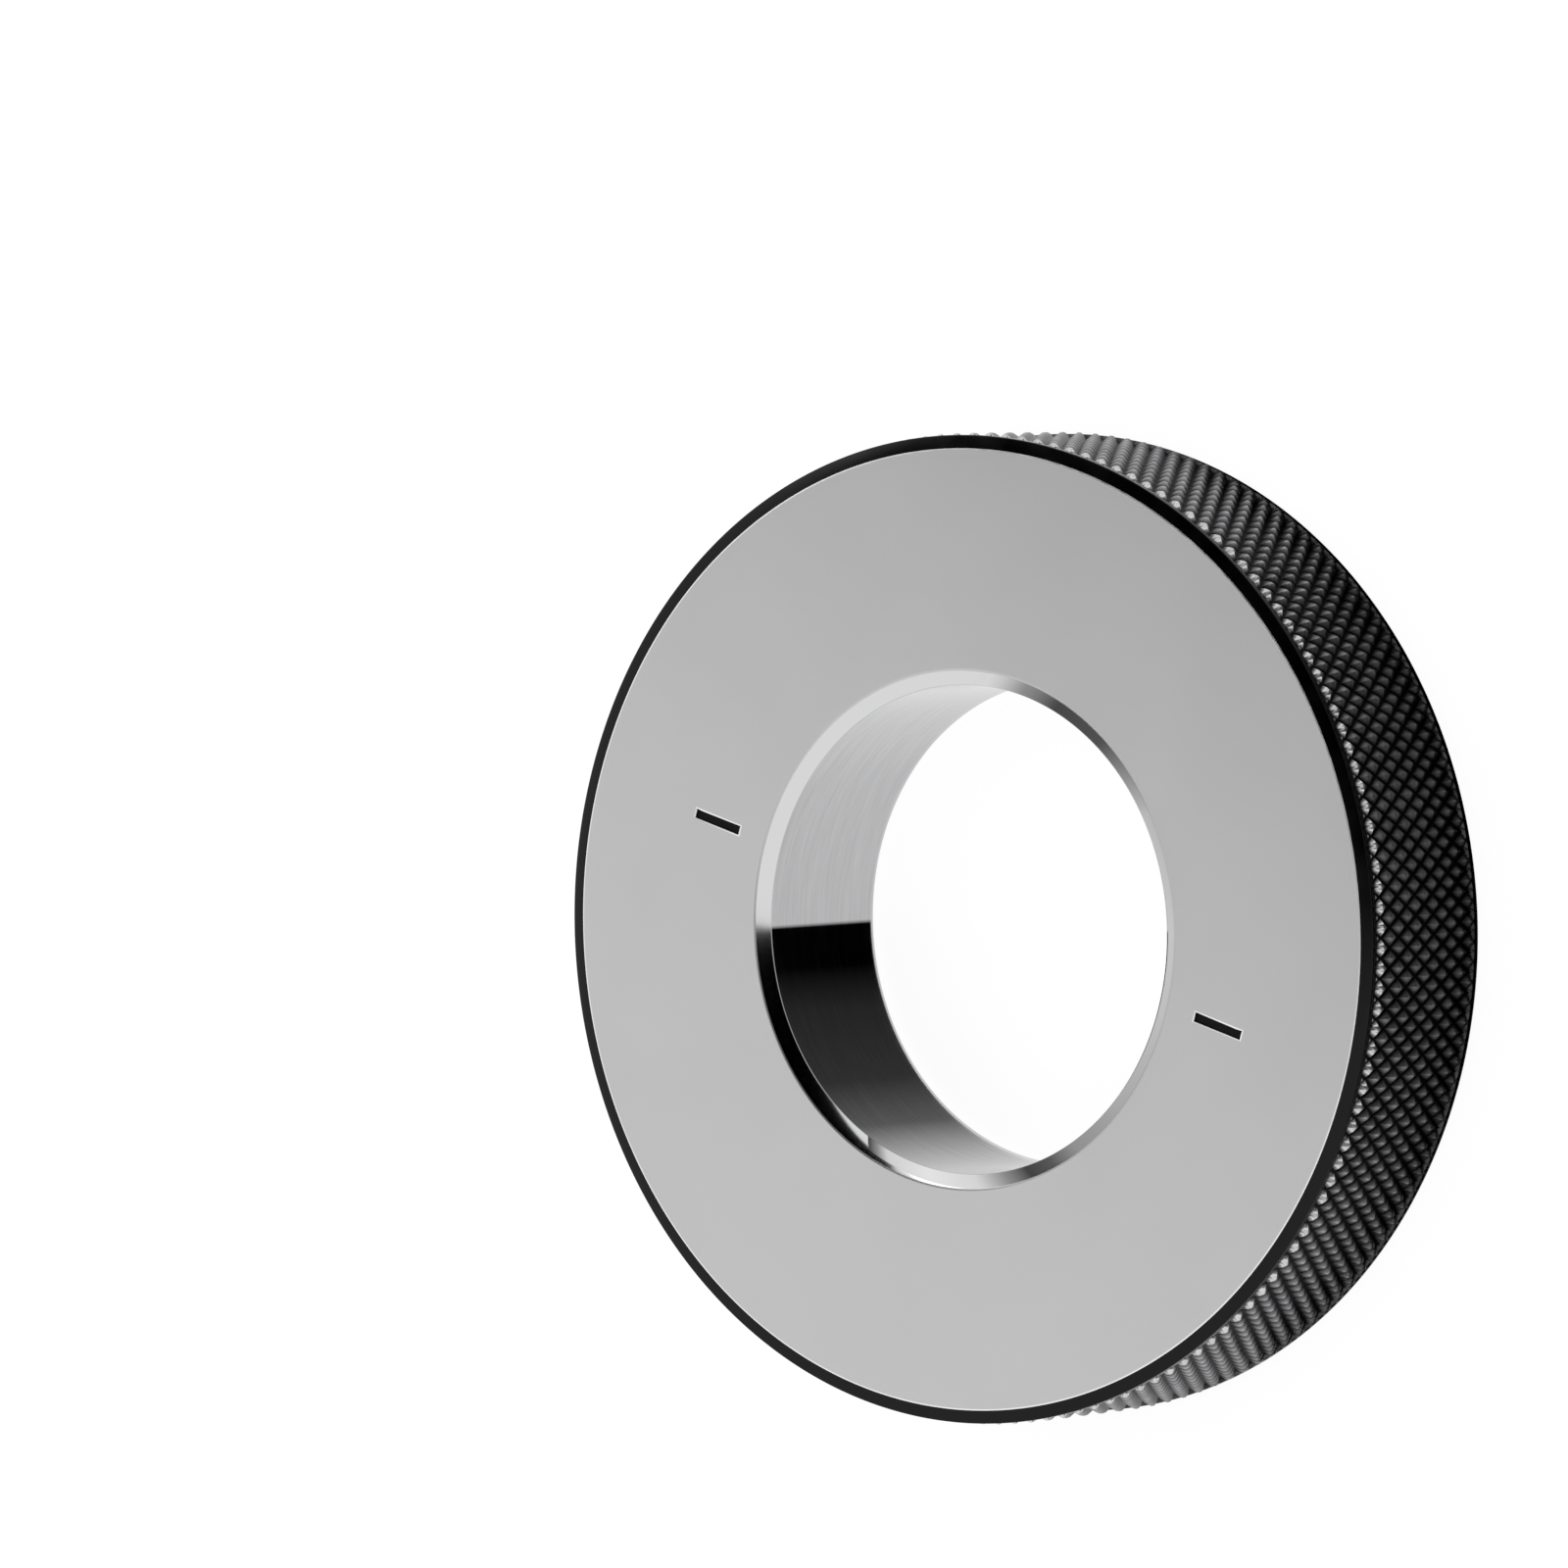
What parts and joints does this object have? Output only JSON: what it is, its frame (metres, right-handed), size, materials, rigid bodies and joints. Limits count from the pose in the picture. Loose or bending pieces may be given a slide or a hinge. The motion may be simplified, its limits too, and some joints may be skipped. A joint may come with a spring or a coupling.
{
  "type": "plain setting ring gauge",
  "caption": "Plain ring gauge: a round steel ring with a smooth lapped measuring bore, bevelled bore mouths, ground faces and a rim with a diamond knurl between two plain lands.",
  "frame": {"origin": "centre of the bore in the plane of the back ground face, on which the ring lies", "axes": "+Z along the bore axis from the back face to the marked front face; +X along the measuring diameter that the two engraved dashes mark; +Y completes the right-handed set"},
  "size_m": [0.071, 0.071, 0.0135],
  "materials": {
    "ring_steel": "hardened tool steel: satin ground faces, lapped bore, black-oxide knurled rim and black-filled dashes"
  },
  "bodies": {
    "root": {"gauge_ring": "ring_steel"}
  },
  "joints": []
}
